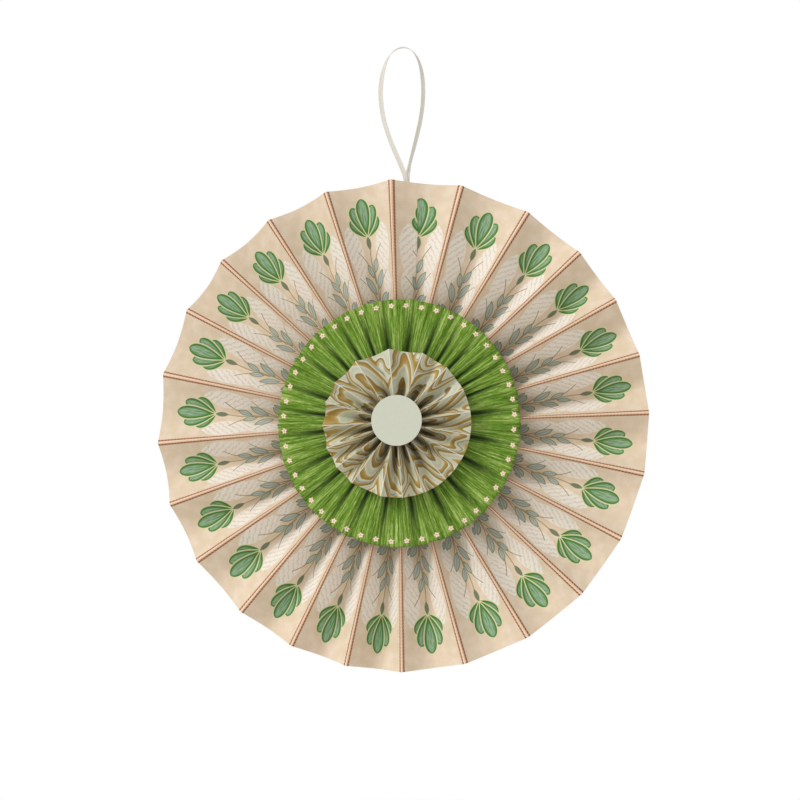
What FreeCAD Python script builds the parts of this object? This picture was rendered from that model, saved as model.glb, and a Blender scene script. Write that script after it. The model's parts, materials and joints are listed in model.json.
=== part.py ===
import FreeCAD, Part

import math
import os

V = FreeCAD.Vector

# A paper fan rosette that hangs from a ribbon loop. Millimetres, +Z up, the front faces -Y.
# The origin is the hang point, at the inside of the ribbon loop's top.
# "Front" below is the distance towards the viewer from the rosette's middle plane.

# The rosette's middle from the hang point
MIDDLE_X = -0.9
MIDDLE_Y = 0.0
MIDDLE_Z = -232.0

# The gap that glue fills between two layers
GLUE_GAP = 0.1

# The large rosette: one printed strip, pleated, closed to a ring with its ends lapped and glued
PAPER = 0.3
LARGE_RADIUS = 150.0
LARGE_HUB_RADIUS = 6.0
LARGE_RIM_DEPTH = 9.6
LARGE_HUB_DEPTH = 22.2
LARGE_RIM_ROUNDING = 1.8
LARGE_RIDGE_ANGLES = (
    92.4, 108.0, 123.0, 137.6, 151.8, 167.8, 184.1, 198.8, 213.5, 229.3, 243.5, 257.1,
    270.2, 285.0, 300.7, 316.6, 332.2, 348.0, 362.2, 375.8, 389.6, 403.5, 418.9, 435.7,
)
LARGE_ROWS = (0.0, 0.12, 0.32, 0.52, 0.7, 0.86, 1.0)
LARGE_STEPS = 6
LAP_AT_RIM = 6.3
LAP_AT_HUB = 0.4
UNDERLAP_AT_RIM = 7.0
LAP_GLUE = 0.06

# The green ruffle: one gathered paper ring on the large rosette's ridges
RUFFLE_PAPER = 0.25
RUFFLE_RADIUS = 74.5
RUFFLE_HUB_RADIUS = 9.0
RUFFLE_RIM_WAVE = 1.5
RUFFLE_MIDDLE_WAVE = 4.6
RUFFLE_MIDDLE_RADIUS = 46.0
RUFFLE_HUB_WAVE = 3.6
RUFFLE_VALLEY_ANGLES = (
    6.6, 21.0, 29.6, 37.0, 46.9, 57.5, 68.5, 83.0, 98.0, 109.5, 121.0, 133.0,
    144.5, 161.0, 173.5, 186.0, 205.0, 219.5, 234.0, 246.0, 261.0, 279.0, 297.0, 312.0, 331.5, 349.0,
)
RUFFLE_ROWS = (0.0, 0.28, 0.57, 0.8, 1.0)
RUFFLE_STEPS = 4
RUFFLE_SHIFT = (-0.5, 0.0)
RUFFLE_OVAL = 0.01

# The small rosette: a pleated strip of marbled paper
SMALL_PAPER = 0.3
SMALL_RADIUS = 44.8
SMALL_HUB_RADIUS = 3.5
SMALL_RIM_DEPTH = 7.4
SMALL_HUB_DEPTH = 11.0
SMALL_RIM_ROUNDING = 1.5
SMALL_RIDGE_ANGLES = (
    8.2, 26.5, 47.5, 69.3, 96.0, 123.7, 146.7, 163.1, 181.6,
    199.5, 216.0, 232.9, 257.9, 274.7, 293.0, 311.0, 332.7, 350.4,
)
SMALL_ROWS = (0.0, 0.25, 0.5, 0.75, 1.0)
SMALL_STEPS = 6
SMALL_SHIFT = (-0.3, -1.1)

# Card discs: the front one covers the small rosette's hub, the rear one holds the large folds
CENTRE_DISC_RADIUS = 15.2
CENTRE_DISC_CARD = 0.8
CENTRE_DISC_SHIFT = (0.1, 0.2)
BACK_DISC_RADIUS = 25.0
BACK_DISC_CARD = 1.0
DISC_EDGE_BREAK = 0.2

# The steepest share of the paper's thickness that is measured along the front direction,
# where the folds close up at a hub
STEEPEST = 6.0

# The hanging ribbon: a flat band bent to a loop, both tails glued behind the top of the rim.
# Its turn from facing the front is given in degrees at shares of its length.
RIBBON_WIDTH = 2.8
RIBBON_THICKNESS = 0.4
RIBBON_TAIL_X = 3.1
RIBBON_TAIL_FRONT = -1.3
RIBBON_TAIL_LENGTH = 10.0
RIBBON_LAYER_STEP = 0.6
RIBBON_TURN = ((0.0, 0.0), (0.1, 0.0), (0.2, 20.0), (0.35, 8.0), (0.5, 90.0), (0.65, 35.0), (0.8, 38.0),
               (0.9, 58.0), (0.95, 0.0), (1.0, 0.0))
RIBBON_ARC_STEP = 10.0
LOOP_HEIGHT = 82.0
LOOP_TOP_HALF_WIDTH = 4.2

# The loop's two legs, upwards from the rim. Each point has its x from the hang point, its height
# as a share of LOOP_HEIGHT, and its place from the hang point's plane (0) to the tail's (1).
LEFT_LEG = ((-1.2, 0.107, 1.0), (-8.4, 0.304, 1.0), (-13.4, 0.511, 0.8), (-14.4, 0.724, 0.5), (-10.8, 0.91, 0.2))
RIGHT_LEG = ((3.3, 0.107, 1.0), (7.7, 0.304, 1.0), (11.6, 0.511, 0.8), (12.6, 0.724, 0.5), (10.0, 0.905, 0.2))


def fold_shape(place, rounding):
    """How deep a pleat is at a place from 0 to 1 across it: 0 at its ridges, 1 in its valley."""
    return 1.0 - abs(2.0 * place - 1.0) ** rounding


def pleat_depth(radius, rim_radius, rim_depth, hub_depth):
    """The depth of a pleat of constant strip width, whose folds spread from the hub to the rim."""
    spread = (hub_depth ** 2 - rim_depth ** 2) * (radius / rim_radius) ** 2
    return math.sqrt(hub_depth ** 2 - spread)


def polar(radius, degrees):
    angle = math.radians(degrees)
    return radius * math.cos(angle), radius * math.sin(angle)


def chord_point(radius, start, end, place):
    """A point of the straight line between two ridges, seen from the front."""
    x0, z0 = polar(radius, start)
    x1, z1 = polar(radius, end)
    return x0 + (x1 - x0) * place, z0 + (z1 - z0) * place


def slope_factor(rise, run):
    """The paper's thickness along the front direction, as a share of its thickness across."""
    return min(math.hypot(1.0, rise / max(run, 1e-6)), STEEPEST)


def to_frame(x, z, front, shift=(0.0, 0.0)):
    """A point in the object's frame from its place about the rosette's middle."""
    return V(MIDDLE_X + x + shift[0], MIDDLE_Y - front, MIDDLE_Z + z + shift[1])


def triangle(a, b, c):
    return Part.Face(Part.makePolygon([a, b, c, a]))


def quad(a, b, c, d):
    """Two triangles, so that a twisted patch is still made of flat faces."""
    return [triangle(a, b, c), triangle(a, c, d)]


def patch_corners(front, i, k, j):
    """A patch's corners, as (column, row). The first is where the patch is split from: the inner
    corner that stands further to the front, so a pleat's two sides mirror each other."""
    corners = [(i, j), (k, j), (k, j + 1), (i, j + 1)]
    return corners if front[i][j].y < front[k][j].y else corners[1:] + corners[:1]


def sheet_solid(front, rear, closed):
    """A closed solid between two grids of points, as [column][row], open or joined into a ring."""
    columns, rows = len(front), len(front[0])
    faces = []
    for i in range(columns if closed else columns - 1):
        k = (i + 1) % columns
        for j in range(rows - 1):
            # Front and rear are split along the same diagonal, so the sheet keeps its thickness
            first, second, third, fourth = patch_corners(front, i, k, j)
            faces += quad(*[front[column][row] for column, row in (first, second, third, fourth)])
            faces += quad(*[rear[column][row] for column, row in (first, fourth, third, second)])
        faces += quad(rear[i][0], rear[k][0], front[k][0], front[i][0])
        faces += quad(front[i][-1], front[k][-1], rear[k][-1], rear[i][-1])
    if not closed:
        for j in range(rows - 1):
            faces += quad(front[0][j], front[0][j + 1], rear[0][j + 1], rear[0][j])
            faces += quad(rear[-1][j], rear[-1][j + 1], front[-1][j + 1], front[-1][j])
    solid = Part.makeSolid(Part.makeShell(faces))
    if solid.Volume < 0:
        solid.reverse()
    return solid


def large_ridge_front(radius):
    """How far the large rosette's ridges stand in front of its middle plane."""
    return 0.5 * pleat_depth(radius, LARGE_RADIUS, LARGE_RIM_DEPTH, LARGE_HUB_DEPTH)


def large_valley_depth(radius, spacing):
    """A pleat's depth. One that is spread wider than its share lies flatter at the rim."""
    share = 360.0 / len(LARGE_RIDGE_ANGLES)
    flatter = (share / spacing) ** (2.0 * (radius / LARGE_RADIUS) ** 3)
    return flatter * pleat_depth(radius, LARGE_RADIUS, LARGE_RIM_DEPTH, LARGE_HUB_DEPTH)


def large_point(radius, start, end, place, lift):
    """Front and rear points of the printed paper at one place of one pleat."""
    rounding = 1.0 + (LARGE_RIM_ROUNDING - 1.0) * radius / LARGE_RADIUS
    depth = large_valley_depth(radius, end - start)
    half_chord = radius * math.sin(math.radians(end - start) / 2.0)
    factor = slope_factor(depth, half_chord)
    x, z = chord_point(radius, start, end, place)
    middle = large_ridge_front(radius) - depth * fold_shape(place, rounding)
    middle += lift * (PAPER + LAP_GLUE) * factor
    half = 0.5 * PAPER * factor
    return to_frame(x, z, middle + half), to_frame(x, z, middle - half)


def hidden_end(share):
    """The place across the seam's pleat of the strip's hidden end, at a share of the radius."""
    return 0.5 - UNDERLAP_AT_RIM * share / (2.0 * LARGE_HUB_DEPTH)


def lapped_end(share):
    """The place across the seam's pleat of the strip's end that is seen in front."""
    return 0.5 + max(LAP_AT_RIM * share ** 2, LAP_AT_HUB) / (2.0 * LARGE_HUB_DEPTH)


def large_columns():
    """Columns of the strip from its hidden end round to its lapped end: ridge angles, place, lift.
    Both layers of the lap have their columns at the same places, so they stay parallel."""
    ridges = LARGE_RIDGE_ANGLES
    pleats = [(ridges[k], ridges[k + 1]) for k in range(len(ridges) - 1)]
    seam = (ridges[-1] - 360.0, ridges[0])
    half = LARGE_STEPS // 2
    lap = (hidden_end, 0.5, lapped_end)
    columns = [(seam, place, 0.0) for place in lap]
    columns += [(seam, n / LARGE_STEPS, 0.0) for n in range(half + 1, LARGE_STEPS)]
    columns += [(p, n / LARGE_STEPS, 0.0) for p in pleats for n in range(LARGE_STEPS)]
    columns += [(seam, n / LARGE_STEPS, min(1.0, n / (half - 1.0))) for n in range(half)]
    columns += [(seam, place, 1.0) for place in lap]
    return columns


def large_rosette():
    """One pleated strip, a single sheet of paper, lapped at the top."""
    front, rear = [], []
    for (start, end), place, lift in large_columns():
        column = []
        for row in LARGE_ROWS:
            radius = LARGE_HUB_RADIUS + (LARGE_RADIUS - LARGE_HUB_RADIUS) * row
            across = place(radius / LARGE_RADIUS) if callable(place) else place
            column.append(large_point(radius, start, end, across, lift))
        front.append([pair[0] for pair in column])
        rear.append([pair[1] for pair in column])
    return sheet_solid(front, rear, closed=False)


def ruffle_wave(radius):
    """The height of the gathers: most beside the small rosette, least at the rim."""
    if radius > RUFFLE_MIDDLE_RADIUS:
        share = (radius - RUFFLE_MIDDLE_RADIUS) / (RUFFLE_RADIUS - RUFFLE_MIDDLE_RADIUS)
        return RUFFLE_MIDDLE_WAVE + (RUFFLE_RIM_WAVE - RUFFLE_MIDDLE_WAVE) * share
    share = (radius - RUFFLE_HUB_RADIUS) / (RUFFLE_MIDDLE_RADIUS - RUFFLE_HUB_RADIUS)
    return RUFFLE_HUB_WAVE + (RUFFLE_MIDDLE_WAVE - RUFFLE_HUB_WAVE) * share


def ruffle_base(radius):
    """The ruffle's rear: just in front of the ridges that it is glued on."""
    largest_offset = math.hypot(*RUFFLE_SHIFT) + RUFFLE_OVAL * radius
    seat = large_ridge_front(max(radius - largest_offset, 0.0))
    return seat + 0.5 * PAPER * STEEPEST + GLUE_GAP


def ruffle_point(radius, start, end, place):
    """A gather is a rounded hump between two valleys."""
    wave = ruffle_wave(radius)
    hump = math.sin(math.pi * place) ** 0.8
    half_width = radius * math.sin(math.radians(end - start) / 2.0)
    half = 0.5 * RUFFLE_PAPER * slope_factor(wave, half_width)
    angle = start + (end - start) * place
    x, z = polar(radius * (1.0 - RUFFLE_OVAL * math.cos(math.radians(2.0 * angle))), angle)
    middle = ruffle_base(radius) + 0.5 * RUFFLE_PAPER * STEEPEST + wave * hump
    return to_frame(x, z, middle + half, RUFFLE_SHIFT), to_frame(x, z, middle - half, RUFFLE_SHIFT)


def ring_solid(point, angles, rows, hub, rim, steps):
    """A closed ring of pleats or gathers between the given angles."""
    front, rear = [], []
    for k, start in enumerate(angles):
        end = angles[k + 1] if k + 1 < len(angles) else angles[0] + 360.0
        for n in range(steps):
            column = [point(hub + (rim - hub) * row, start, end, n / steps) for row in rows]
            front.append([pair[0] for pair in column])
            rear.append([pair[1] for pair in column])
    return sheet_solid(front, rear, closed=True)


def green_ruffle():
    return ring_solid(
        ruffle_point, RUFFLE_VALLEY_ANGLES, RUFFLE_ROWS, RUFFLE_HUB_RADIUS, RUFFLE_RADIUS, RUFFLE_STEPS)


def small_middle():
    """The small rosette's middle plane: its valleys rest on the highest gathers."""
    lean = math.hypot(SMALL_SHIFT[0] - RUFFLE_SHIFT[0], SMALL_SHIFT[1] - RUFFLE_SHIFT[1])
    lean += RUFFLE_OVAL * SMALL_RADIUS
    seats = []
    for row in SMALL_ROWS:
        radius = SMALL_HUB_RADIUS + (SMALL_RADIUS - SMALL_HUB_RADIUS) * row
        below = min(max(radius - lean, RUFFLE_HUB_RADIUS), RUFFLE_RADIUS)
        top = ruffle_base(below) + RUFFLE_PAPER * STEEPEST + max(ruffle_wave(below), ruffle_wave(radius))
        depth = pleat_depth(radius, SMALL_RADIUS, SMALL_RIM_DEPTH, SMALL_HUB_DEPTH)
        seats.append(top + 0.5 * depth + 0.5 * SMALL_PAPER * STEEPEST + GLUE_GAP)
    return max(seats)


def small_point(radius, start, end, place):
    """Front and rear points of the marbled paper at one place of one pleat."""
    rounding = 1.0 + (SMALL_RIM_ROUNDING - 1.0) * radius / SMALL_RADIUS
    depth = pleat_depth(radius, SMALL_RADIUS, SMALL_RIM_DEPTH, SMALL_HUB_DEPTH)
    half_chord = radius * math.sin(math.radians(end - start) / 2.0)
    half = 0.5 * SMALL_PAPER * slope_factor(depth, half_chord)
    x, z = chord_point(radius, start, end, place)
    middle = small_middle() + depth * (0.5 - fold_shape(place, rounding))
    return to_frame(x, z, middle + half, SMALL_SHIFT), to_frame(x, z, middle - half, SMALL_SHIFT)


def small_rosette():
    return ring_solid(
        small_point, SMALL_RIDGE_ANGLES, SMALL_ROWS, SMALL_HUB_RADIUS, SMALL_RADIUS, SMALL_STEPS)


def card_disc(radius, card, front_of_rear_face, shift):
    """A flat card disc with broken edges. Its rear face is at the given front distance."""
    x, z = shift
    centre = to_frame(x, z, front_of_rear_face)
    disc = Part.makeCylinder(radius, card, centre, V(0, -1, 0))
    return disc.makeChamfer(DISC_EDGE_BREAK, disc.Edges[:1] + disc.Edges[2:])


def centre_disc():
    top = small_middle() + 0.5 * SMALL_HUB_DEPTH + 0.5 * SMALL_PAPER * STEEPEST
    return card_disc(CENTRE_DISC_RADIUS, CENTRE_DISC_CARD, top + GLUE_GAP, CENTRE_DISC_SHIFT)


def large_rear(radius):
    """How far the large rosette's deepest valley reaches behind its middle plane."""
    ridges = LARGE_RIDGE_ANGLES + (LARGE_RIDGE_ANGLES[0] + 360.0,)
    narrowest = min(end - start for start, end in zip(ridges, ridges[1:]))
    depth = large_valley_depth(radius, narrowest)
    return depth - large_ridge_front(radius) + 0.5 * PAPER * STEEPEST


def back_disc():
    """The rear disc lies on the folds' rear edges, from the hub out to its own rim."""
    seat = max(large_rear(BACK_DISC_RADIUS * share) for share in (0.25, 0.5, 0.75, 1.0))
    return card_disc(BACK_DISC_RADIUS, BACK_DISC_CARD, -seat - GLUE_GAP - BACK_DISC_CARD, (0.0, 0.0))


def ribbon_route():
    """The ribbon's points from one glued tail, round the loop, to the other tail."""
    rim = MIDDLE_Z + LARGE_RADIUS
    top = rim + LOOP_HEIGHT + RIBBON_THICKNESS / 2.0
    tail = MIDDLE_X + RIBBON_TAIL_X
    near = MIDDLE_Y - RIBBON_TAIL_FRONT
    far = near + RIBBON_LAYER_STEP
    left = [V(x, near * back, rim + LOOP_HEIGHT * up) for x, up, back in LEFT_LEG]
    right = [V(x, far * back, rim + LOOP_HEIGHT * up) for x, up, back in RIGHT_LEG]
    return [
        V(tail, near, rim - RIBBON_TAIL_LENGTH),
        V(tail, near, rim - RIBBON_WIDTH / 6.0),
        *left,
        V(-LOOP_TOP_HALF_WIDTH, 0.0, top),
        V(LOOP_TOP_HALF_WIDTH, 0.0, top),
        *reversed(right),
        V(tail, far, rim - RIBBON_WIDTH / 6.0),
        V(tail, far, rim - RIBBON_TAIL_LENGTH),
    ]


def route_wire(points):
    """Straight runs joined by tangent arcs, each as large as its two runs allow."""
    edges, radii = [], []
    start = points[0]
    for before, corner, after in zip(points, points[1:], points[2:]):
        back, ahead = before - corner, after - corner
        turn = math.pi - back.getAngle(ahead)
        cut = 0.45 * min(back.Length, ahead.Length)
        radii.append(cut / math.tan(turn / 2.0))
        into = corner + back.normalize() * cut
        out = corner + ahead.normalize() * cut
        towards = (into + out) * 0.5 - corner
        reach = radii[-1] / math.cos(turn / 2.0) - radii[-1]
        middle = corner + towards.normalize() * reach
        edges.append(Part.LineSegment(start, into).toShape())
        edges.append(Part.Arc(into, middle, out).toShape())
        start = out
    edges.append(Part.LineSegment(start, points[-1]).toShape())
    print("ribbon radii", [round(r, 1) for r in radii])
    return Part.Wire(edges)


def ribbon_turn(share):
    """How far the band is turned away from the front at a share of its length, in radians."""
    for (start, low), (end, high) in zip(RIBBON_TURN, RIBBON_TURN[1:]):
        if share <= end:
            blend = (share - start) / (end - start)
            return math.radians(low + (high - low) * blend * blend * (3.0 - 2.0 * blend))
    return math.radians(RIBBON_TURN[-1][1])


def stations(path):
    """Points and directions along the path: the ends of each run, and several on each arc."""
    found, passed = [], 0.0
    for edge in path.Edges:
        first, last = edge.FirstParameter, edge.LastParameter
        turn = math.degrees(edge.tangentAt(first).getAngle(edge.tangentAt(last)))
        count = max(1, math.ceil(turn / RIBBON_ARC_STEP))
        for n in range(count):
            at = first + (last - first) * n / count
            found.append((edge.valueAt(at), edge.tangentAt(at), passed + edge.Length * n / count))
        passed += edge.Length
    found.append((edge.valueAt(last), edge.tangentAt(last), passed))
    return [(point, along, length / passed) for point, along, length in found]


def hanging_ribbon():
    """A flat band along the loop, facing the front at its tails and edge-on over the hook."""
    path = route_wire(ribbon_route())
    front, rear = [], []
    for point, along, share in stations(path):
        side = along.cross(V(0, 1, 0)).normalize()
        depth = side.cross(along).normalize()
        turn = ribbon_turn(share)
        wide = (side * math.cos(turn) + depth * math.sin(turn)) * (RIBBON_WIDTH / 2.0)
        thick = along.cross(wide).normalize() * (RIBBON_THICKNESS / 2.0)
        front.append([point - wide - thick, point + wide - thick])
        rear.append([point - wide + thick, point + wide + thick])
    band = sheet_solid(front, rear, closed=False)
    section = RIBBON_WIDTH * RIBBON_THICKNESS
    print("ribbon length", round(path.Length, 1), "volume", round(band.Volume, 1),
          "of", round(section * path.Length, 1))
    return band


NODES = {
    "large_rosette": large_rosette,
    "green_ruffle": green_ruffle,
    "small_rosette": small_rosette,
    "centre_disc": centre_disc,
    "back_disc": back_disc,
    "hanging_ribbon": hanging_ribbon,
}

os.makedirs("parts", exist_ok=True)
for name, make in NODES.items():
    shape = make()
    print(name, "valid", shape.isValid(), "solids", len(shape.Solids), "volume", round(shape.Volume, 1))
    shape.exportStep("parts/" + name + ".step")
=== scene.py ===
import json
import math

import bpy
import numpy as np
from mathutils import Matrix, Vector

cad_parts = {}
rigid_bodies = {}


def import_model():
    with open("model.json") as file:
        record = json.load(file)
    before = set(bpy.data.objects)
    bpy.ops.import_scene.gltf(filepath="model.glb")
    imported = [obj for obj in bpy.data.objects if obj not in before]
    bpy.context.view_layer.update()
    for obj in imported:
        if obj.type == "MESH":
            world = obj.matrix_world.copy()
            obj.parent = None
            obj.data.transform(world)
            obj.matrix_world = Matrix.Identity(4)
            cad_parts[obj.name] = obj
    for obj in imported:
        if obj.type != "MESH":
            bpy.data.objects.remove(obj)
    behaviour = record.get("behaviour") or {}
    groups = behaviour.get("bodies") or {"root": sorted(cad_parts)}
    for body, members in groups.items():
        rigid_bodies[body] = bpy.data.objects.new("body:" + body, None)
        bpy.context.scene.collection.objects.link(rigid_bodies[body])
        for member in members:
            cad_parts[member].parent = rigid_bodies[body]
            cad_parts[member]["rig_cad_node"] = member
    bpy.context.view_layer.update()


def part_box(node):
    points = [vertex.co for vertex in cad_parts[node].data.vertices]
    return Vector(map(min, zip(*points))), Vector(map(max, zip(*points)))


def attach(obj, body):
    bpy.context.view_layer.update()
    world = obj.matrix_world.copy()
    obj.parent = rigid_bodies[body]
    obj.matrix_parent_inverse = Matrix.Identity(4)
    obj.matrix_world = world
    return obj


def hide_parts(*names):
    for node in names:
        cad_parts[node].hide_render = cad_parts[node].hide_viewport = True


# A paper fan rosette that hangs from a ribbon loop. The frame's axes: +Z up, the front faces -Y.
# Lengths below are in millimetres and are scaled to metres where a mesh is made.
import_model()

MM = 0.001

# The papers' "strip" maps hold the radius in this many millimetres
STRIP_UNIT = 100.0

# The rosette's middle, from the card disc at its rear
disc_low, disc_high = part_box("back_disc")
MIDDLE_X = (disc_low[0] + disc_high[0]) / 2 / MM
MIDDLE_Y = 0.0
MIDDLE_Z = (disc_low[2] + disc_high[2]) / 2 / MM

# The large rosette's strip
PAPER = 0.3
LARGE_RADIUS = 150.0
LARGE_HUB_RADIUS = 6.0
LARGE_RIM_DEPTH = 9.6
LARGE_HUB_DEPTH = 22.2
LARGE_RIM_ROUNDING = 1.8
LARGE_RIDGE_ANGLES = (
    92.4, 108.0, 123.0, 137.6, 151.8, 167.8, 184.1, 198.8, 213.5, 229.3, 243.5, 257.1,
    270.2, 285.0, 300.7, 316.6, 332.2, 348.0, 362.2, 375.8, 389.6, 403.5, 418.9, 435.7,
)
PLEAT_WIDTH = 2.0 * LARGE_HUB_DEPTH
LAP_AT_RIM = 6.3
LAP_AT_HUB = 0.4
UNDERLAP_AT_RIM = 7.0
LAP_GLUE = 0.06
LAP_STEPS = 4
# The lapped end is cut this much short at its corner. The print on it and the print below it lie
# these shares of a pleat off, so that the join shows
LAP_CORNER_SHORT = 1.1
LAPPED_PRINT_SHIFT = 0.12
HIDDEN_PRINT_SHIFT = 0.2
LARGE_ROWS = 44
LARGE_STEPS = 20

# The green ruffle
RUFFLE_PAPER = 0.25
RUFFLE_RADIUS = 74.5
RUFFLE_HUB_RADIUS = 9.0
RUFFLE_RIM_WAVE = 1.5
RUFFLE_MIDDLE_WAVE = 4.6
RUFFLE_MIDDLE_RADIUS = 46.0
RUFFLE_HUB_WAVE = 3.6
RUFFLE_VALLEY_ANGLES = (
    6.6, 21.0, 29.6, 37.0, 46.9, 57.5, 68.5, 83.0, 98.0, 109.5, 121.0, 133.0,
    144.5, 161.0, 173.5, 186.0, 205.0, 219.5, 234.0, 246.0, 261.0, 279.0, 297.0, 312.0, 331.5, 349.0,
)
RUFFLE_ROWS = 40
RUFFLE_STEPS = 22
RUFFLE_SHIFT = (-0.5, 0.0)
RUFFLE_OVAL = 0.01
RUFFLE_FLORETS = 48

# The small rosette
SMALL_PAPER = 0.3
SMALL_RADIUS = 44.8
SMALL_HUB_RADIUS = 3.5
SMALL_RIM_DEPTH = 7.4
SMALL_HUB_DEPTH = 11.0
SMALL_RIM_ROUNDING = 1.5
SMALL_RIDGE_ANGLES = (
    8.2, 26.5, 47.5, 69.3, 96.0, 123.7, 146.7, 163.1, 181.6,
    199.5, 216.0, 232.9, 257.9, 274.7, 293.0, 311.0, 332.7, 350.4,
)
SMALL_ROWS = 30
SMALL_STEPS = 18
SMALL_SHIFT = (-0.3, -1.1)
small_low, small_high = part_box("small_rosette")
SMALL_MIDDLE = MIDDLE_Y - (small_low[1] + small_high[1]) / 2 / MM

# Where the folds close up at a hub, the paper's thickness along the front direction is held to
# this many times its thickness across
STEEPEST = 6.0
GLUE_GAP = 0.1

# The ribbon
RIBBON_WIDTH = 2.8
RIBBON_THICKNESS = 0.4
RIBBON_TAIL_X = 3.1
RIBBON_TAIL_FRONT = -1.3
RIBBON_TAIL_LENGTH = 10.0
RIBBON_LAYER_STEP = 0.6
# The band's turn away from the front in degrees, at shares of its length
RIBBON_TURN = ((0.0, 0.0), (0.1, 0.0), (0.2, 20.0), (0.35, 8.0), (0.5, 90.0), (0.65, 35.0), (0.8, 38.0),
               (0.9, 58.0), (0.95, 0.0), (1.0, 0.0))
LOOP_HEIGHT = 82.0
LOOP_TOP_HALF_WIDTH = 4.2
# Each leg's points upwards: place to the side, share of the loop's height, share of the tail's depth
LEFT_LEG = ((-1.2, 0.107, 1.0), (-8.4, 0.304, 1.0), (-13.4, 0.511, 0.8), (-14.4, 0.724, 0.5),
            (-10.8, 0.91, 0.2))
RIGHT_LEG = ((3.3, 0.107, 1.0), (7.7, 0.304, 1.0), (11.6, 0.511, 0.8), (12.6, 0.724, 0.5),
             (10.0, 0.905, 0.2))

# The photograph's view
PHOTO_SIDE = 800
PHOTO_MIDDLE = (401.75, 424.35)
MM_PER_PIXEL = 0.6085
CAMERA_DISTANCE = 1600.0
CAMERA_AZIMUTH = 6.0
CAMERA_ELEVATION = -4.5
SENSOR = 36.0

FLOOR_Z = -560.0
FLOOR_RADIUS = 1400.0
FLOOR_CORNERS = 96

# The key light's strength, its soft edge and the way to it, and the surround's strength as a light
KEY_STRENGTH = 1.6
KEY_SPREAD = 20.0
TOWARDS_KEY = (-0.6, -0.6, 0.529)
SURROUND_STRENGTH = 0.64


def srgb(red, green, blue):
    """A colour written in the usual 0 to 255 steps, as Blender's linear colour."""
    parts = [c / 255.0 for c in (red, green, blue)]
    linear = [c / 12.92 if c <= 0.04045 else ((c + 0.055) / 1.055) ** 2.4 for c in parts]
    return (*linear, 1.0)


# The print's colours, with painted shade for the folds' valleys
GROUND = srgb(230, 210, 182)
GROUND_LIGHT = srgb(240, 222, 200)
PLUME = srgb(247, 241, 230)
PLUME_LINE = srgb(205, 180, 168)
STEM = srgb(163, 146, 106)
TWIG = srgb(146, 118, 84)
HALO = srgb(226, 224, 176)
LEAF = srgb(196, 204, 196)
LEAF_EDGE = srgb(106, 118, 100)
LEAF_LIGHT = srgb(176, 190, 120)
PETAL = srgb(80, 134, 56)
PETAL_EDGE = srgb(58, 104, 44)
PETAL_LIGHT = srgb(166, 192, 164)
CUP = srgb(122, 132, 104)
UNPRINTED = srgb(236, 230, 218)
BORDER = srgb(252, 222, 190)
BORDER_LINE = srgb(150, 84, 50)
# Painted shade for the green ruffle's gather valleys
GREEN_VALLEY_SHADE = srgb(26, 48, 4)
GREEN_DARK = srgb(48, 82, 12)
GREEN = srgb(108, 144, 40)
GREEN_LIGHT = srgb(180, 202, 114)
FLORET = srgb(250, 228, 202)
FLORET_EDGE = srgb(178, 150, 96)
FLORET_EYE = srgb(206, 150, 118)
OCHRE = srgb(178, 148, 82)
OCHRE_DARK = srgb(156, 124, 52)
OCHRE_LIGHT = srgb(198, 176, 118)
CREAM = srgb(222, 218, 196)
SAGE = srgb(196, 200, 176)
VEIN = srgb(132, 124, 92)
# Painted shade for the small rosette's valleys beside the hub
OLIVE_VALLEY_SHADE = srgb(84, 66, 26)
# Paler colour along the small rosette's ridge folds
RIDGE_PALE = srgb(240, 238, 228)
RIBBON_LIGHT = srgb(240, 236, 229)
RIBBON_DARK = srgb(231, 227, 218)
FRONT_CARD = srgb(206, 208, 190)
REAR_CARD = srgb(232, 228, 216)
FLOOR_COLOUR = srgb(248, 247, 245)


# Small helpers that build a node tree from plain expressions


def feed(tree, socket, source):
    """Puts a value, another node's socket, or a number or colour into a socket."""
    if isinstance(source, Value):
        tree.links.new(source.source, socket)
    elif isinstance(source, bpy.types.NodeSocket):
        tree.links.new(source, socket)
    else:
        socket.default_value = source


class Value:
    """A number in a node tree, which adds, multiplies and compares as numbers do."""

    def __init__(self, tree, source):
        self.tree, self.source = tree, source

    def math(self, operation, *others, clamp=False):
        node = self.tree.nodes.new("ShaderNodeMath")
        node.operation, node.use_clamp = operation, clamp
        for socket, value in zip(node.inputs, (self, *others)):
            feed(self.tree, socket, value)
        return Value(self.tree, node.outputs[0])

    def __add__(self, other):
        return self.math("ADD", other)

    def __sub__(self, other):
        return self.math("SUBTRACT", other)

    def __mul__(self, other):
        return self.math("MULTIPLY", other)

    def least(self, other):
        return self.math("MINIMUM", other)

    def most(self, other):
        return self.math("MAXIMUM", other)

    def size(self):
        return self.math("ABSOLUTE")

    def sine(self):
        return self.math("SINE")

    def power(self, exponent):
        return self.math("POWER", exponent)

    def above(self, limit):
        """1 where this is over a limit, otherwise 0."""
        return self.math("GREATER_THAN", limit)

    def rounded_down(self):
        return self.math("FLOOR")

    def fraction(self):
        return self.math("FRACT")

    def unless(self):
        """One less this mask."""
        return (self * -1.0).math("ADD", 1.0, clamp=True)

    def ramp(self, low, high, start=0.0, end=1.0):
        """Smooth from start to end as this goes from low to high."""
        node = self.tree.nodes.new("ShaderNodeMapRange")
        node.interpolation_type = "SMOOTHSTEP"
        feed(self.tree, node.inputs["Value"], self)
        for name, value in (("From Min", low), ("From Max", high), ("To Min", start), ("To Max", end)):
            node.inputs[name].default_value = value
        return Value(self.tree, node.outputs["Result"])

    def inside(self, soft=0.15):
        """A mask that is 1 where this distance is negative, with a soft edge."""
        return self.ramp(soft, -soft)


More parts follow.
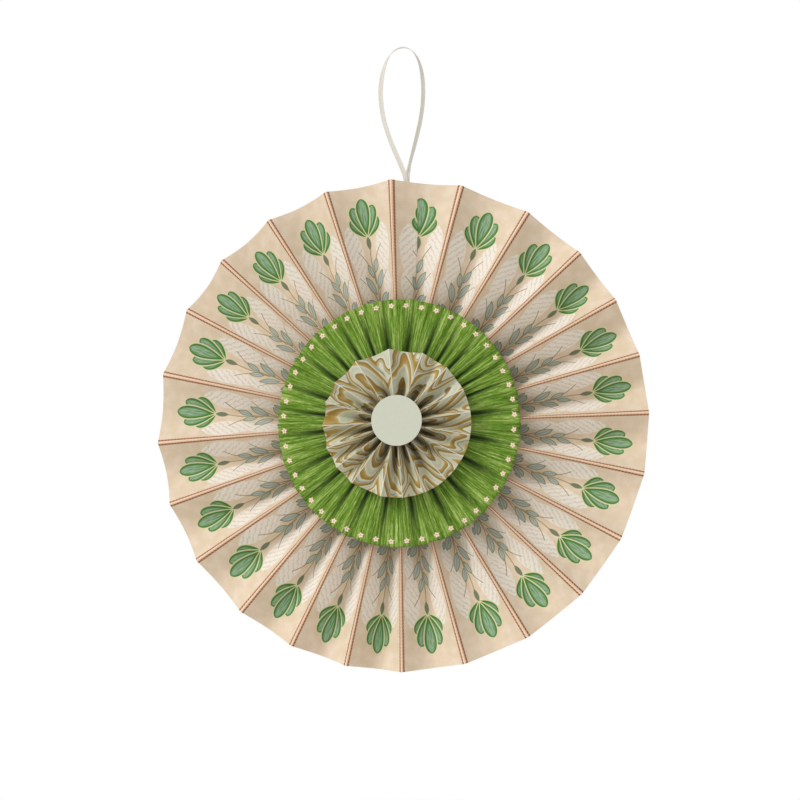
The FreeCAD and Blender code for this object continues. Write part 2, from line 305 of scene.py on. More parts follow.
class Paint:
    """A material in the making: its coordinates, noises, layers of colour and final shader."""

    def __init__(self, name):
        self.material = bpy.data.materials.new(name)
        self.material.use_nodes = True
        self.tree = self.material.node_tree
        self.tree.nodes.clear()

    def uv(self, name):
        """The two numbers of a UV map, as values."""
        node = self.tree.nodes.new("ShaderNodeUVMap")
        node.uv_map = name
        split = self.tree.nodes.new("ShaderNodeSeparateXYZ")
        self.tree.links.new(node.outputs[0], split.inputs[0])
        return Value(self.tree, split.outputs[0]), Value(self.tree, split.outputs[1])

    def point(self, x, y, z=0.0):
        """A vector socket from three values or numbers."""
        node = self.tree.nodes.new("ShaderNodeCombineXYZ")
        for socket, value in zip(node.inputs, (x, y, z)):
            feed(self.tree, socket, value)
        return node.outputs[0]

    def place(self):
        """The object's own coordinates."""
        return self.tree.nodes.new("ShaderNodeTexCoord").outputs["Object"]

    def noise(self, vector, scale, detail=3.0, roughness=0.5, distortion=0.0):
        node = self.tree.nodes.new("ShaderNodeTexNoise")
        self.tree.links.new(vector, node.inputs["Vector"])
        node.inputs["Scale"].default_value = scale
        node.inputs["Detail"].default_value = detail
        node.inputs["Roughness"].default_value = roughness
        node.inputs["Distortion"].default_value = distortion
        return Value(self.tree, node.outputs["Fac"])

    def over(self, under, colour, mask):
        """Lays a colour over another where the mask is 1."""
        node = self.tree.nodes.new("ShaderNodeMix")
        node.data_type = "RGBA"
        # Inputs 6 and 7 and output 2 are the colour ones
        for socket, source in ((node.inputs[0], mask), (node.inputs[6], under), (node.inputs[7], colour)):
            feed(self.tree, socket, source)
        return node.outputs[2]

    def ramp(self, value, stops):
        """A colour ramp through (place, colour) stops."""
        node = self.tree.nodes.new("ShaderNodeValToRGB")
        feed(self.tree, node.inputs[0], value)
        band = node.color_ramp
        while len(band.elements) < len(stops):
            band.elements.new(0.5)
        for element, (where, colour) in zip(band.elements, stops):
            element.position, element.color = where, colour
        return node.outputs[0]

    def finish(self, colour, roughness, bump=None, strength=0.2, depth=0.0002, through=0.0, sheen=0.0):
        """The paper's shader: a rough surface that lets a little light through."""
        nodes, links = self.tree.nodes, self.tree.links
        shader = nodes.new("ShaderNodeBsdfPrincipled")
        feed(self.tree, shader.inputs["Base Color"], colour)
        shader.inputs["Roughness"].default_value = roughness
        shader.inputs["Specular IOR Level"].default_value = 0.25
        if sheen:
            shader.inputs["Sheen Weight"].default_value = sheen
        if bump is not None:
            node = nodes.new("ShaderNodeBump")
            node.inputs["Strength"].default_value = strength
            node.inputs["Distance"].default_value = depth
            feed(self.tree, node.inputs["Height"], bump)
            links.new(node.outputs[0], shader.inputs["Normal"])
        output = nodes.new("ShaderNodeOutputMaterial")
        if through:
            glow = nodes.new("ShaderNodeBsdfTranslucent")
            feed(self.tree, glow.inputs["Color"], colour)
            mix = nodes.new("ShaderNodeMixShader")
            mix.inputs[0].default_value = through
            links.new(shader.outputs[0], mix.inputs[1])
            links.new(glow.outputs[0], mix.inputs[2])
            links.new(mix.outputs[0], output.inputs[0])
        else:
            links.new(shader.outputs[0], output.inputs[0])
        return self.material


# The shapes of folded and gathered paper


def polar(radius, degrees):
    return radius * math.cos(math.radians(degrees)), radius * math.sin(math.radians(degrees))


def chord_point(radius, start, end, place):
    """A point of the straight line between two ridges, seen from the front."""
    x0, z0 = polar(radius, start)
    x1, z1 = polar(radius, end)
    return x0 + (x1 - x0) * place, z0 + (z1 - z0) * place


def fold_shape(place, rounding):
    """How deep a pleat is at a place from 0 to 1 across it: 0 at its ridges, 1 in its valley."""
    return 1.0 - abs(2.0 * place - 1.0) ** rounding


def pleat_depth(radius, rim_radius, rim_depth, hub_depth):
    """The depth of a pleat of constant strip width, whose folds spread from the hub to the rim."""
    spread = (hub_depth ** 2 - rim_depth ** 2) * (radius / rim_radius) ** 2
    return math.sqrt(hub_depth ** 2 - spread)


def slope_factor(rise, run):
    return min(math.hypot(1.0, rise / max(run, 1e-6)), STEEPEST)


def to_frame(x, z, front, shift=(0.0, 0.0)):
    """A point in metres in the object's frame from its place about the rosette's middle."""
    return ((MIDDLE_X + x + shift[0]) * MM, (MIDDLE_Y - front) * MM, (MIDDLE_Z + z + shift[1]) * MM)


def ripple(*waves):
    """A smooth unevenness between about -1 and 1, from (turns, phase) pairs of an angle."""
    def height(degrees):
        total = sum(math.sin(math.radians(degrees) * turns + phase) for turns, phase in waves)
        return total / len(waves)
    return height


LIE_UNEVEN = ripple((3, 1.2), (11, 0.3), (17, 2.6))
GATHER_UNEVEN = ripple((31, 0.7), (47, 2.2), (67, 4.0))
FINE_UNEVEN = ripple((83, 0.2), (109, 1.7), (149, 3.1))


def large_ridge_front(radius):
    return 0.5 * pleat_depth(radius, LARGE_RADIUS, LARGE_RIM_DEPTH, LARGE_HUB_DEPTH)


def large_valley_depth(radius, spacing):
    """A pleat's depth. One that is spread wider than its share lies flatter at the rim."""
    share = 360.0 / len(LARGE_RIDGE_ANGLES)
    flatter = (share / spacing) ** (2.0 * (radius / LARGE_RADIUS) ** 3)
    return flatter * pleat_depth(radius, LARGE_RADIUS, LARGE_RIM_DEPTH, LARGE_HUB_DEPTH)


def large_point(radius, start, end, place, lift):
    """Front and rear points of the printed paper at one place of one pleat."""
    outward = radius / LARGE_RADIUS
    rounding = 1.0 + (LARGE_RIM_ROUNDING - 1.0) * outward
    depth = large_valley_depth(radius, end - start)
    half_chord = radius * math.sin(math.radians(end - start) / 2.0)
    factor = slope_factor(depth, half_chord)
    x, z = chord_point(radius, start, end, place)
    angle = start + (end - start) * place
    middle = large_ridge_front(radius) - depth * fold_shape(place, rounding)
    middle += 0.25 * outward ** 4 * LIE_UNEVEN(angle)
    middle += lift * (PAPER + LAP_GLUE) * factor
    half = 0.5 * PAPER * factor
    return to_frame(x, z, middle + half), to_frame(x, z, middle - half)


def spread_places(steps):
    """Places from 0 up to 1 across a pleat, closer together beside the crisp ridges."""
    even = [n / steps for n in range(steps)]
    return [p - 0.35 / (2.0 * math.pi) * math.sin(2.0 * math.pi * p) for p in even]


def lap_width(out):
    return max(LAP_AT_RIM * out ** 2, LAP_AT_HUB)


def large_columns():
    """Columns of the strip: its ridge angles, place, lift, and strip coordinate in pleats."""
    ridges = LARGE_RIDGE_ANGLES
    pleats = [(ridges[k], ridges[k + 1]) for k in range(len(ridges) - 1)]
    seam = (ridges[-1] - 360.0, ridges[0])
    places = spread_places(LARGE_STEPS)
    later = [p for p in places if p > 0.5]
    earlier = [p for p in places if p <= 0.5]
    columns = []
    for n in range(LAP_STEPS, 0, -1):
        columns.append((
            seam, lambda out, n=n: 0.5 - UNDERLAP_AT_RIM * out / PLEAT_WIDTH * n / LAP_STEPS, 0.0, 0))
    columns.append((seam, 0.5, 0.0, 0))
    columns += [(seam, p, 0.0, 0) for p in later]
    for k, pleat in enumerate(pleats):
        columns += [(pleat, p, 0.0, k + 1) for p in places]
    last = len(pleats) + 1
    columns += [(seam, p, min(1.0, 3.0 * p), last) for p in earlier]
    for n in range(1, LAP_STEPS + 1):
        columns.append((
            seam, lambda out, n=n: 0.5 + lap_width(out) / PLEAT_WIDTH * n / LAP_STEPS, 1.0, last))
    return columns


def mesh_object(name, points, faces, uvs, material):
    """An object from points, faces and one UV pair for each point, shaded smooth."""
    mesh = bpy.data.meshes.new(name)
    mesh.from_pydata(points, [], faces)
    for map_name, pairs in uvs.items():
        layer = mesh.uv_layers.new(name=map_name)
        corner = np.empty(len(mesh.loops), dtype=np.int32)
        mesh.loops.foreach_get("vertex_index", corner)
        layer.data.foreach_set("uv", np.asarray(pairs, dtype=np.float32)[corner].ravel())
    mesh.polygons.foreach_set("use_smooth", [True] * len(mesh.polygons))
    mesh.validate()
    mesh.materials.append(material)
    thing = bpy.data.objects.new(name, mesh)
    bpy.context.scene.collection.objects.link(thing)
    return thing


def sheet_mesh(name, front, rear, strip, nearness, closed, material):
    """A closed sheet between two grids of points, [column][row], with its strip coordinates and
    each column's nearness to its fold's line. The "fold" map's second number is 1 at the rear."""
    columns, rows = len(front), len(front[0])
    points, pairs, folds = [], [], []
    for rearward, side in enumerate((front, rear)):
        for i in range(columns):
            points += side[i]
            pairs += strip[i]
            folds += [(nearness[i], rearward)] * rows
    back = columns * rows
    faces = []
    for i in range(columns if closed else columns - 1):
        a, b = i * rows, ((i + 1) % columns) * rows
        for j in range(rows - 1):
            faces.append((a + j, a + j + 1, b + j + 1, b + j))
            faces.append((back + a + j, back + b + j, back + b + j + 1, back + a + j + 1))
        faces.append((a, b, back + b, back + a))
        faces.append((back + a + rows - 1, back + b + rows - 1, b + rows - 1, a + rows - 1))
    if not closed:
        end = (columns - 1) * rows
        for j in range(rows - 1):
            faces.append((back + j, back + j + 1, j + 1, j))
            faces.append((end + j, end + j + 1, back + end + j + 1, back + end + j))
    thing = mesh_object(name, points, faces, {"strip": pairs, "fold": folds}, material)
    if closed:
        close_strip(thing.data, strip[-1][0][0] + strip[1][0][0] - strip[0][0][0])
    return thing


def close_strip(mesh, whole):
    """The last column's faces run on to the strip's end, a whole strip on, not back to its start."""
    layer = mesh.uv_layers["strip"]
    for face in mesh.polygons:
        at = [layer.data[i].uv.x for i in face.loop_indices]
        if max(at) - min(at) > 0.5 * whole:
            for i in face.loop_indices:
                if layer.data[i].uv.x < 0.5 * whole:
                    layer.data[i].uv.x += whole


def sharpen(thing, degrees):
    """Marks folds sharper than an angle, so that they render crisp."""
    mesh = thing.data
    mesh.update()
    mesh.set_sharp_from_angle(angle=math.radians(degrees))


def large_rosette(material):
    front, rear, strip, nearness = [], [], [], []
    rows = [n / (LARGE_ROWS - 1) for n in range(LARGE_ROWS)]
    for (start, end), place, lift, index in large_columns():
        pairs, column = [], []
        for row in rows:
            radius = LARGE_HUB_RADIUS + (LARGE_RADIUS - LARGE_HUB_RADIUS) * row
            across = place(radius / LARGE_RADIUS) if callable(place) else place
            short = aside = 0.0
            if index == 0:
                aside = HIDDEN_PRINT_SHIFT * (1.0 - across)
            elif index == len(LARGE_RIDGE_ANGLES):
                short = LAP_CORNER_SHORT * across ** 2 * row ** 3
                aside = -LAPPED_PRINT_SHIFT * across
            column.append(large_point(radius - short, start, end, across, lift))
            pairs.append((index + across + aside, radius / STRIP_UNIT))
        front.append([pair[0] for pair in column])
        rear.append([pair[1] for pair in column])
        strip.append(pairs)
        nearness.append(abs(2.0 * across - 1.0))
    thing = sheet_mesh("printed_strip", front, rear, strip, nearness, False, material)
    sharpen(thing, 35.0)
    return thing


def ruffle_wave(radius):
    """The height of the gathers: most beside the small rosette, least at the rim."""
    if radius > RUFFLE_MIDDLE_RADIUS:
        share = (radius - RUFFLE_MIDDLE_RADIUS) / (RUFFLE_RADIUS - RUFFLE_MIDDLE_RADIUS)
        return RUFFLE_MIDDLE_WAVE + (RUFFLE_RIM_WAVE - RUFFLE_MIDDLE_WAVE) * share
    share = (radius - RUFFLE_HUB_RADIUS) / (RUFFLE_MIDDLE_RADIUS - RUFFLE_HUB_RADIUS)
    return RUFFLE_HUB_WAVE + (RUFFLE_MIDDLE_WAVE - RUFFLE_HUB_WAVE) * share


def ruffle_base(radius):
    largest_offset = math.hypot(*RUFFLE_SHIFT) + RUFFLE_OVAL * radius
    seat = large_ridge_front(max(radius - largest_offset, 0.0))
    return seat + 0.5 * PAPER * STEEPEST + GLUE_GAP


def ruffle_point(radius, start, end, place):
    """A gather is a rounded hump between two valleys, with small creases on it."""
    wave = ruffle_wave(radius)
    hump = math.sin(math.pi * place) ** 0.8
    half_width = radius * math.sin(math.radians(end - start) / 2.0)
    half = 0.5 * RUFFLE_PAPER * slope_factor(wave, half_width)
    angle = start + (end - start) * place
    crease = 0.34 * wave * (1.0 + GATHER_UNEVEN(angle)) + 0.06 * wave * (1.0 + FINE_UNEVEN(angle))
    middle = ruffle_base(radius) + 0.5 * RUFFLE_PAPER * STEEPEST + wave * hump * 0.9 - crease * hump
    rim = (radius / RUFFLE_RADIUS) ** 6
    spread = radius + rim * 0.5 * (GATHER_UNEVEN(angle) - 0.6)
    x, z = polar(spread * (1.0 - RUFFLE_OVAL * math.cos(math.radians(2.0 * angle))), angle)
    return to_frame(x, z, middle + half, RUFFLE_SHIFT), to_frame(x, z, middle - half, RUFFLE_SHIFT)


def small_point(radius, start, end, place):
    rounding = 1.0 + (SMALL_RIM_ROUNDING - 1.0) * radius / SMALL_RADIUS
    depth = pleat_depth(radius, SMALL_RADIUS, SMALL_RIM_DEPTH, SMALL_HUB_DEPTH)
    half_chord = radius * math.sin(math.radians(end - start) / 2.0)
    half = 0.5 * SMALL_PAPER * slope_factor(depth, half_chord)
    x, z = chord_point(radius, start, end, place)
    middle = SMALL_MIDDLE + depth * (0.5 - fold_shape(place, rounding))
    return to_frame(x, z, middle + half, SMALL_SHIFT), to_frame(x, z, middle - half, SMALL_SHIFT)


def ring(name, point, angles, rows, hub, rim, places, material, repeats=None):
    """A closed ring of pleats or gathers. Its strip coordinates are a count round the ring, of its
    pleats or of an even number of repeats, and the radius."""
    front, rear, strip, nearness = [], [], [], []
    for k, start in enumerate(angles):
        end = angles[k + 1] if k + 1 < len(angles) else angles[0] + 360.0
        for place in places:
            radii = [hub + (rim - hub) * n / (rows - 1) for n in range(rows)]
            column = [point(radius, start, end, place) for radius in radii]
            front.append([pair[0] for pair in column])
            rear.append([pair[1] for pair in column])
            count = k + place if repeats is None else repeats * (start + (end - start) * place) / 360.0
            strip.append([(count, radius / STRIP_UNIT) for radius in radii])
            nearness.append(abs(2.0 * place - 1.0))
    return sheet_mesh(name, front, rear, strip, nearness, True, material)


# Materials


# A petal's outline is drawn this far inside its profile, so that a halo round it ends at its tips
PETAL_SLACK = 1.4

# Where the flower's petals start on a pleat: off its middle, and out from the rosette's middle
FLOWER_FOOT = (0.0, 116.5)


def turned(x, y, start, degrees):
    """Distances across and along a motif that grows from a start point at an angle from +y."""
    cos, sin = math.cos(math.radians(degrees)), math.sin(math.radians(degrees))
    dx, dy = x - start[0], y - start[1]
    return dx * cos - dy * sin, dx * sin + dy * cos


def petal(x, y, start, degrees, length, half_width, blunt=1.0):
    """About how far outside a petal a point is. Blunt below 1 rounds the petal's far end."""
    across, along = turned(x, y, start, degrees)
    share = (along * (1.0 / length)).most(0.0).least(1.0)
    widest = (1.0 / (1.0 + blunt)) * (blunt / (1.0 + blunt)) ** blunt
    profile = share * share.unless().power(blunt) * ((half_width + PETAL_SLACK) / widest)
    return across.size() - profile + PETAL_SLACK


def curl(x, y, start, reach, height, half_width):
    """About how far outside a thin curved twig a point is, which leans out by reach over its height."""
    share = (y - start[1]) * (1.0 / height)
    bow = share.most(0.0).least(1.0)
    off = (x - start[0] - bow * bow * reach).size() - half_width
    return off + (share - bow).size() * height


def printed_paper():
    """Peach paper with a repeat of striped borders and a green fan flower over paired leaves."""
    paint = Paint("printed_paper")
    strip, out = paint.uv("strip")
    x = (strip.fraction() - 0.5) * PLEAT_WIDTH
    y = out * STRIP_UNIT
    tone = paint.noise(paint.point(strip * 4.0, out * 9.0), 1.6, 4.0)
    colour = paint.over(GROUND, GROUND_LIGHT, tone.ramp(0.35, 0.75))

    # The repeat wanders a little on its pleats
    wander = paint.noise(paint.point(strip.rounded_down() * 0.37, 0.5), 3.0, 0.0) - 0.5
    mx = x + wander * 5.0
    my = y + (paint.noise(paint.point(strip.rounded_down() * 0.53, 2.5), 3.0, 0.0) - 0.5) * 4.0
    side = mx.size()
    left_right = mx.above(0.0)

    # Pale plumes with fine hatching at both sides
    for start, degrees, length, half_width in (
            ((10.5, 84.0), 4.0, 42.0, 6.6), ((9.5, 70.0), 14.0, 26.0, 4.6)):
        plume = petal(side, my, start, degrees, length, half_width, 0.7)
        ragged = paint.noise(paint.point(mx * 0.3, my * 0.3), 1.5, 3.0, 0.6)
        hatch = (side * 1.5 + my * 1.3 + ragged * 9.0).sine()
        feathered = plume + (ragged - 0.5) * 3.0
        colour = paint.over(colour, PLUME, feathered.inside(0.6) * 0.9)
        hatched = (feathered + 0.7).inside(0.5) * hatch.ramp(0.4, 0.95)
        colour = paint.over(colour, PLUME_LINE, hatched * 0.45)

    # Stem and curled twigs
    stem = (mx - (my * 0.2).sine() * 0.8).size() - 0.42 + (my - 94.0).size().ramp(21.0, 23.0) * 2.0
    colour = paint.over(colour, STEM, stem.inside(0.2) * 0.9)
    shifted = my + left_right * 3.5
    for start, reach, height in (((0.3, 92.0), 10.0, 20.0), ((0.3, 74.0), 14.0, 21.0)):
        colour = paint.over(colour, TWIG, curl(side, shifted, start, reach, height, 0.38).inside(0.2) * 0.9)

    # Leaves in pairs that alternate along the stem
    for start, degrees, length, half_width in (
            ((0.8, 73.0), 50.0, 15.0, 3.0), ((0.6, 83.5), 34.0, 17.0, 3.0), ((0.5, 94.0), 22.0, 12.5, 2.4),
            ((9.5, 75.0), 38.0, 9.0, 1.5)):
        leaf = petal(side, shifted, start, degrees, length, half_width)
        across, _ = turned(side, shifted, start, degrees)
        colour = paint.over(colour, HALO, (leaf - 0.6).inside(0.4) * 0.5)
        colour = paint.over(colour, LEAF_EDGE, leaf.inside(0.2) * 0.95)
        colour = paint.over(colour, LEAF, (leaf + 0.6).inside(0.4) * tone.ramp(0.1, 0.5, 0.75, 1.0))
        midrib = (leaf + 0.4).inside(0.2) * across.size().ramp(0.45, 0.2)
        colour = paint.over(colour, LEAF_EDGE, midrib * 0.5)

    # The flower: five petals that fan out of a small cup, the outer ones behind
    for degrees, length, half_width in ((42.0, 16.5, 3.7), (21.0, 22.0, 4.3), (0.0, 25.5, 4.6)):
        where = side if degrees else mx
        leaf = petal(where, my, FLOWER_FOOT, degrees, length, half_width, 0.45)
        across, along = turned(where, my, FLOWER_FOOT, degrees)
        streak = paint.noise(paint.point(across * 0.9, along * 0.1), 1.2, 2.0)
        colour = paint.over(colour, HALO, (leaf - 0.85).inside(0.35))
        colour = paint.over(colour, PETAL_EDGE, leaf.inside(0.25))
        colour = paint.over(colour, PETAL, (leaf + 0.4).inside(0.3))
        inner = (leaf + 1.6).inside(0.9) * along.ramp(4.0, 11.0) * streak.ramp(0.3, 0.55)
        colour = paint.over(colour, PETAL_LIGHT, inner * 0.85)
    cup = petal(mx, my, (0.0, 108.5), 0.0, 11.0, 2.0)
    colour = paint.over(colour, CUP, cup.inside(0.3))

    # Borders: a pale band on each fold between two roped brown lines
    edge = x.size() * -1.0 + PLEAT_WIDTH / 2.0
    colour = paint.over(colour, BORDER, (edge - 1.7).inside(0.25))
    rope = (y * 3.1 + edge * 2.6).sine()
    line = (edge - 1.4).size() - 0.55
    colour = paint.over(colour, BORDER_LINE, line.inside(0.2) * rope.ramp(-1.0, 0.2, 0.6, 1.0))

    # The rear is unprinted, with a faint shade of the print behind it
    _, rear = paint.uv("fold")
    colour = paint.over(colour, UNPRINTED, rear.ramp(0.3, 0.7) * 0.92)
    grain = paint.noise(paint.place(), 900.0, 2.0)
    return paint.finish(colour, 0.75, grain, 0.15, 0.0001, through=0.12)


def green_paper():
    """Mottled green paper, streaked along the gathers, with a border of small pale florets."""
    paint = Paint("green_paper")
    turn, out = paint.uv("strip")
    y = out * STRIP_UNIT
    streak = paint.noise(paint.point(turn * 3.0, out * 1.6), 2.2, 6.0, 0.7)
    fleck = paint.noise(paint.point(turn * 9.0, out * 14.0), 2.0, 3.0, 0.7)
    mixed = streak * 0.72 + fleck * 0.28
    colour = paint.ramp(mixed, [(0.37, GREEN_DARK), (0.5, GREEN), (0.61, GREEN_LIGHT)])

    # Painted shade: the gathers' valleys are darkened, most beside the small rosette
    near, _ = paint.uv("fold")
    valley_shade = near.ramp(0.58, 1.0) * y.ramp(74.0, 48.0, 0.12, 1.0)
    colour = paint.over(colour, GREEN_VALLEY_SHADE, valley_shade)

    # One floret to each step of the border: petals round a dark eye, with two small leaves
    cell = turn.rounded_down().math("MODULO", float(RUFFLE_FLORETS))
    dice = paint.noise(paint.point(cell * 0.71, 0.5), 4.0, 0.0)
    x = (turn.fraction() - 0.5) * (y * (2.0 * math.pi / RUFFLE_FLORETS)) + (dice - 0.5) * 1.6
    up = y - 70.9 + (paint.noise(paint.point(cell * 0.43, 3.5), 4.0, 0.0) - 0.5) * 1.4
    reach = (x * x + up * up).power(0.5)
    lobes = (up.math("ARCTAN2", x) * 5.0 + dice * 9.0).sine()
    sprig = (up + x * 0.5).size() - 0.35 + (reach - 2.2).most(0.0) * 2.0
    colour = paint.over(colour, LEAF_LIGHT, sprig.inside(0.2) * 0.8)
    petals = reach - lobes * 0.3 - 1.35
    colour = paint.over(colour, FLORET_EDGE, (petals - 0.25).inside(0.2) * 0.75)
    colour = paint.over(colour, FLORET, petals.inside(0.25))
    colour = paint.over(colour, FLORET_EYE, (reach - 0.5).inside(0.25) * 0.8)
    return paint.finish(colour, 0.8, mixed, 0.7, 0.0006, through=0.06)


def marbled_paper():
    """Marbled paper: combed tongues of ochre, cream and sage with thin olive veins."""
    paint = Paint("marbled_paper")
    strip, out = paint.uv("strip")
    y = out * STRIP_UNIT
    bend = paint.noise(paint.point(strip * 0.8, out * 3.0), 1.1, 1.5)
    comb = ((strip * 0.78 + bend * 1.3) * math.pi).sine().size().power(1.3)
    flow = (y * 0.045 - comb * 0.8 + bend * 2.4).fraction()
    colour = paint.ramp(flow, [
        (0.0, SAGE), (0.13, CREAM), (0.16, OCHRE_LIGHT), (0.24, OCHRE), (0.37, OCHRE_DARK),
        (0.4, CREAM), (0.5, SAGE), (0.53, VEIN), (0.56, SAGE), (0.62, OCHRE), (0.73, OCHRE_DARK),
        (0.76, VEIN), (0.8, CREAM), (1.0, SAGE)])
    # Painted shade: the valleys are darkened beside the hub
    near, _ = paint.uv("fold")
    valley_shade = near.ramp(0.75, 0.2) * y.ramp(32.0, 18.0)
    colour = paint.over(colour, OLIVE_VALLEY_SHADE, valley_shade * 0.6)
    # Paler along the ridge folds
    colour = paint.over(colour, RIDGE_PALE, near.ramp(0.94, 0.985) * 0.9)
    return paint.finish(colour, 0.65, bend, 0.1, 0.0001, through=0.05)


def plain_card(name, colour):
    paint = Paint(name)
    fibre = paint.noise(paint.place(), 700.0, 3.0)
    tone = paint.over(colour, tuple(0.93 * c for c in colour[:3]) + (1.0,), fibre)
    return paint.finish(tone, 0.7, fibre, 0.15, 0.0001)


def ribbon_cloth():
    paint = Paint("ribbon")
    _, along = paint.uv("strip")
    rib = (along * 9000.0).sine()
    tone = paint.over(RIBBON_LIGHT, RIBBON_DARK, rib.ramp(-1.0, 1.0))
    return paint.finish(tone, 0.6, rib, 0.2, 0.0001, through=0.4, sheen=0.3)


# The ribbon


def ribbon_route():
    """The ribbon's points from one glued tail, round the loop, to the other tail."""
    rim = MIDDLE_Z + LARGE_RADIUS
    top = rim + LOOP_HEIGHT + RIBBON_THICKNESS / 2.0
    tail = MIDDLE_X + RIBBON_TAIL_X
    near = MIDDLE_Y - RIBBON_TAIL_FRONT
    far = near + RIBBON_LAYER_STEP
    left = [(x, near * back, rim + LOOP_HEIGHT * up) for x, up, back in LEFT_LEG]
    right = [(x, far * back, rim + LOOP_HEIGHT * up) for x, up, back in RIGHT_LEG]
    return [
        (tail, near, rim - RIBBON_TAIL_LENGTH),
        (tail, near, rim - RIBBON_WIDTH / 6.0),
        *left,
        (-LOOP_TOP_HALF_WIDTH, 0.0, top),
        (LOOP_TOP_HALF_WIDTH, 0.0, top),
        *reversed(right),
        (tail, far, rim - RIBBON_WIDTH / 6.0),
        (tail, far, rim - RIBBON_TAIL_LENGTH),
    ]


def route_line(points):
    """Points along the smooth line that the route's points control."""
    curve = bpy.data.curves.new("ribbon_line", "CURVE")
    curve.dimensions = "3D"
    curve.resolution_u = 12
    spline = curve.splines.new("NURBS")
    spline.points.add(len(points) - 1)
    for control, place in zip(spline.points, points):
        control.co = (*(c * MM for c in place), 1.0)
    spline.order_u = 3
    spline.use_endpoint_u = True
    holder = bpy.data.objects.new("ribbon_line", curve)
    line = bpy.data.meshes.new_from_object(holder)
    found = [v.co.copy() for v in line.vertices]
    bpy.data.objects.remove(holder)
    bpy.data.curves.remove(curve)
    bpy.data.meshes.remove(line)
    return found


def ribbon_turn(share):
    """How far the band is turned away from the front at a share of its length, in radians."""
    for (start, low), (end, high) in zip(RIBBON_TURN, RIBBON_TURN[1:]):
        if share <= end:
            blend = (share - start) / (end - start)
            return math.radians(low + (high - low) * blend * blend * (3.0 - 2.0 * blend))
    return math.radians(RIBBON_TURN[-1][1])


def hanging_ribbon(material):
    """A flat band with thin selvedges, facing the front at its tails and edge-on over the hook."""
    line = route_line(ribbon_route())
    lengths = [0.0]
    for a, b in zip(line, line[1:]):
        lengths.append(lengths[-1] + (b - a).length)
    half_width, half = RIBBON_WIDTH / 2.0 * MM, RIBBON_THICKNESS / 2.0 * MM
    under = [(-1.0, -0.75), (-0.93, -1.0), (-0.84, -0.7), (0.0, -0.62), (0.84, -0.7), (0.93, -1.0),
             (1.0, -0.75)]
    section = under + [(-across, -up) for across, up in under]
    points, pairs, faces = [], [], []
    for n, point in enumerate(line):
        along = (line[min(n + 1, len(line) - 1)] - line[max(n - 1, 0)]).normalized()
        side = along.cross(Vector((0.0, 1.0, 0.0))).normalized()
        depth = side.cross(along).normalized()
        turn = ribbon_turn(lengths[n] / lengths[-1])
        wide = side * math.cos(turn) + depth * math.sin(turn)
        thick = along.cross(wide).normalized()
        for across, up in section:
            points.append(point + wide * (across * half_width) + thick * (up * half))
            pairs.append((across, lengths[n]))
    count = len(section)
    for n in range(len(line) - 1):
        for k in range(count):
            a, b = n * count + k, n * count + (k + 1) % count
            faces.append((a, b, b + count, a + count))
    faces.append(tuple(range(count))[::-1])
    faces.append(tuple(range((len(line) - 1) * count, len(line) * count)))
    thing = mesh_object("ribbon_band", [tuple(p) for p in points], faces, {"strip": pairs}, material)
    sharpen(thing, 40.0)
    tuple(line[0])
    [tuple(p) for p in line]
    return thing


def dress(thing, node):
    """The piece rides with the object and stands in for its CAD node, which is hidden."""
    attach(thing, "root")
    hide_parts(node)


def camera():
    """The photograph's camera, aimed so that the rosette's middle lies where the photo has it."""
    centre = PHOTO_SIDE / 2.0
    aim = Vector((MIDDLE_X + (centre - PHOTO_MIDDLE[0]) * MM_PER_PIXEL, 0.0,
                  MIDDLE_Z + (PHOTO_MIDDLE[1] - centre) * MM_PER_PIXEL))
    turn, rise = math.radians(CAMERA_AZIMUTH), math.radians(CAMERA_ELEVATION)
    back = Vector((math.sin(turn) * math.cos(rise), -math.cos(turn) * math.cos(rise), math.sin(rise)))
    data = bpy.data.cameras.new("camera")
    data.sensor_width = SENSOR
    data.lens = SENSOR * CAMERA_DISTANCE / (PHOTO_SIDE * MM_PER_PIXEL)
    data.clip_start, data.clip_end = 0.05, 50.0
    view = bpy.data.objects.new("camera", data)
    view.location = (aim + back * CAMERA_DISTANCE) * MM
    view.rotation_mode = "QUATERNION"
    view.rotation_quaternion = (-back).to_track_quat("-Z", "Y")
    bpy.context.scene.collection.objects.link(view)
    bpy.context.scene.camera = view


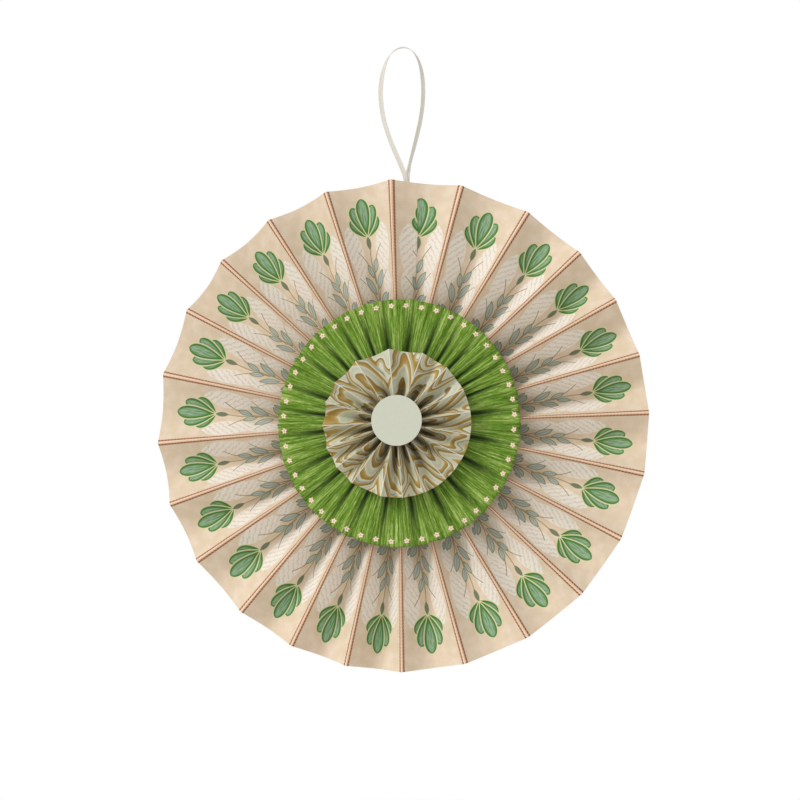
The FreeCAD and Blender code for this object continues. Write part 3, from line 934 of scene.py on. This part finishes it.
def light():
    """A soft key from the upper left and an even white surround."""
    data = bpy.data.lights.new("key", "SUN")
    data.energy = KEY_STRENGTH
    data.angle = math.radians(KEY_SPREAD)
    key = bpy.data.objects.new("key", data)
    key.rotation_mode = "QUATERNION"
    key.rotation_quaternion = Vector(TOWARDS_KEY).to_track_quat("Z", "Y")
    bpy.context.scene.collection.objects.link(key)
    world = bpy.data.worlds.new("surround")
    world.use_nodes = True
    nodes, links = world.node_tree.nodes, world.node_tree.links
    nodes.clear()
    rays = nodes.new("ShaderNodeLightPath").outputs
    seen, mirrored, passed = (Value(world.node_tree, rays[name])
                              for name in ("Is Camera Ray", "Is Glossy Ray", "Is Transmission Ray"))
    shine = nodes.new("ShaderNodeMapRange")
    feed(world.node_tree, shine.inputs["Value"], seen.most(mirrored).most(passed))
    shine.inputs["To Min"].default_value = SURROUND_STRENGTH
    shine.inputs["To Max"].default_value = 1.0
    background = nodes.new("ShaderNodeBackground")
    background.inputs["Color"].default_value = (1.0, 1.0, 1.0, 1.0)
    links.new(shine.outputs[0], background.inputs["Strength"])
    output = nodes.new("ShaderNodeOutputWorld")
    links.new(background.outputs[0], output.inputs[0])
    bpy.context.scene.world = world


def floor():
    """A pale round floor below the hanging rosette."""
    material = Paint("floor").finish(FLOOR_COLOUR, 0.9)
    corners = (polar(FLOOR_RADIUS * MM, 360.0 * n / FLOOR_CORNERS) for n in range(FLOOR_CORNERS))
    points = [(x, y, FLOOR_Z * MM) for x, y in corners]
    thing = mesh_object("floor", points, [tuple(range(FLOOR_CORNERS))], {}, material)


camera()
light()
floor()

dress(large_rosette(printed_paper()), "large_rosette")

ruffle_places = [n / RUFFLE_STEPS for n in range(RUFFLE_STEPS)]
ruffle = ring("green_gathers", ruffle_point, RUFFLE_VALLEY_ANGLES, RUFFLE_ROWS, RUFFLE_HUB_RADIUS,
              RUFFLE_RADIUS, ruffle_places, green_paper(), RUFFLE_FLORETS)
dress(ruffle, "green_ruffle")

small = ring("marbled_strip", small_point, SMALL_RIDGE_ANGLES, SMALL_ROWS, SMALL_HUB_RADIUS,
             SMALL_RADIUS, spread_places(SMALL_STEPS), marbled_paper())
sharpen(small, 35.0)
dress(small, "small_rosette")

dress(hanging_ribbon(ribbon_cloth()), "hanging_ribbon")

for node, material in (("centre_disc", plain_card("grey_card", FRONT_CARD)),
                       ("back_disc", plain_card("backing_card", REAR_CARD))):
    thing = next(o for o in bpy.context.scene.objects if o.get("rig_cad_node") == node)
    thing.data.materials.clear()
    thing.data.materials.append(material)

bpy.context.scene.view_settings.view_transform = "Standard"
